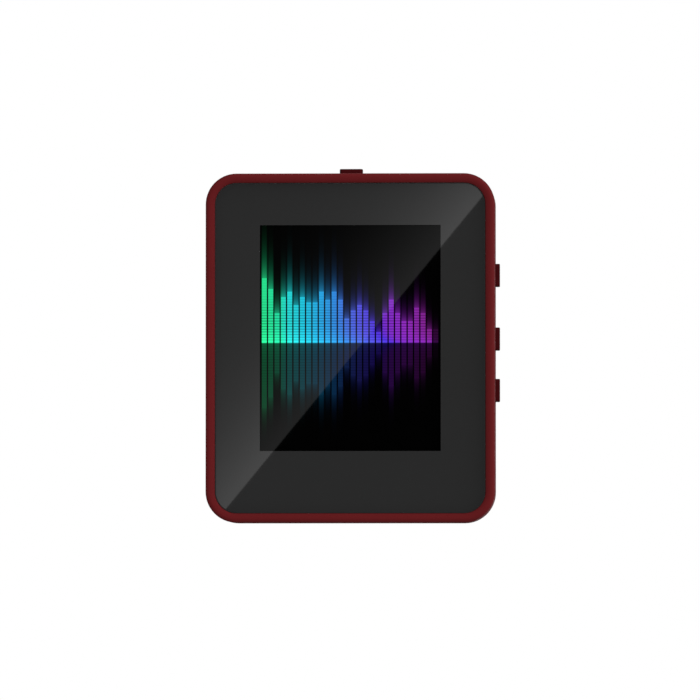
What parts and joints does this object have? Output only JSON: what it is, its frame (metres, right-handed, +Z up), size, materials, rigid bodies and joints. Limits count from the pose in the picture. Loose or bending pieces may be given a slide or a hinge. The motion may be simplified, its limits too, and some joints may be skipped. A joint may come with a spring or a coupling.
{
  "type": "digital audio player",
  "caption": "Small upright pocket music player with a glossy front lens over a colour screen, a beaded dark red rim, push buttons on its edges and sockets for headphones, charging and a card.",
  "frame": {"origin": "middle of the bottom edge that the player stands on, in the middle of its depth", "axes": "+Z up, -Y out of the screen towards the listener, +X to the right as the screen is read"},
  "size_m": [0.0455, 0.0104, 0.0551],
  "materials": {
    "case_red": "satin dark red paint on ABS",
    "button_red": "satin dark red ABS",
    "lens_clear": "clear hard-coated acrylic",
    "mask_black": "black ink on clear film",
    "tape": "black double-sided tape",
    "foam": "soft foam",
    "steel_sheet": "plain stamped sheet",
    "display_glass": "liquid crystal panel behind a polariser",
    "backlight_white": "white diffuser",
    "flex_amber": "amber polyimide",
    "pad_white": "white foam tape",
    "board_green": "green solder mask",
    "chip_black": "black moulding compound",
    "crystal_can": "bright can",
    "passive_tan": "ceramic",
    "battery_foil": "satin pouch foil",
    "lead_red": "red insulation",
    "lead_black": "black insulation",
    "switch_black": "black moulding",
    "plunger_white": "off-white moulding",
    "jack_black": "black moulding",
    "contact_brass": "plated spring brass",
    "socket_black": "black moulding",
    "screw_black": "black oxide steel"
  },
  "bodies": {
    "case": {"front_housing": "case_red", "back_cover": "case_red", "front_lens": "lens_clear", "lens_mask": "mask_black", "lens_tape": "tape", "display_gasket": "foam", "display_bezel": "steel_sheet", "display_panel": "display_glass", "backlight": "backlight_white", "display_flex": "flex_amber", "display_pads": "pad_white", "main_board": "board_green", "processor_chip": "chip_black", "memory_chip": "chip_black", "radio_chip": "chip_black", "charger_chip": "chip_black", "crystal": "crystal_can", "board_passives": "passive_tan", "battery_cell": "battery_foil", "battery_tape": "pad_white", "battery_circuit": "board_green", "battery_lead_plus": "lead_red", "battery_lead_minus": "lead_black", "switch_bodies": "switch_black", "jack_body": "jack_black", "jack_contacts": "contact_brass", "usb_shell": "steel_sheet", "usb_tongue": "socket_black", "usb_contacts": "contact_brass", "card_base": "socket_black", "card_cover": "steel_sheet", "card_contacts": "contact_brass", "case_screws": "screw_black"},
    "menu_key": {"menu_button": "button_red", "menu_plunger": "plunger_white"},
    "volume_up_key": {"volume_up_button": "button_red", "volume_up_plunger": "plunger_white"},
    "volume_down_key": {"volume_down_button": "button_red", "volume_down_plunger": "plunger_white"},
    "power_key": {"power_button": "button_red", "power_plunger": "plunger_white"}
  },
  "joints": [
    {"name": "menu_press", "type": "slide", "parent": "case", "child": "menu_key", "axis": [-1, 0, 0], "range_m": [0, 0.00025], "stiffness_N_per_m": 400, "springref_m": -0.001},
    {"name": "volume_up_press", "type": "slide", "parent": "case", "child": "volume_up_key", "axis": [-1, 0, 0], "range_m": [0, 0.00025], "stiffness_N_per_m": 400, "springref_m": -0.001},
    {"name": "volume_down_press", "type": "slide", "parent": "case", "child": "volume_down_key", "axis": [-1, 0, 0], "range_m": [0, 0.00025], "stiffness_N_per_m": 400, "springref_m": -0.001},
    {"name": "power_press", "type": "slide", "parent": "case", "child": "power_key", "axis": [0, 0, -1], "range_m": [0, 0.00025], "stiffness_N_per_m": 400, "springref_m": -0.001}
  ]
}
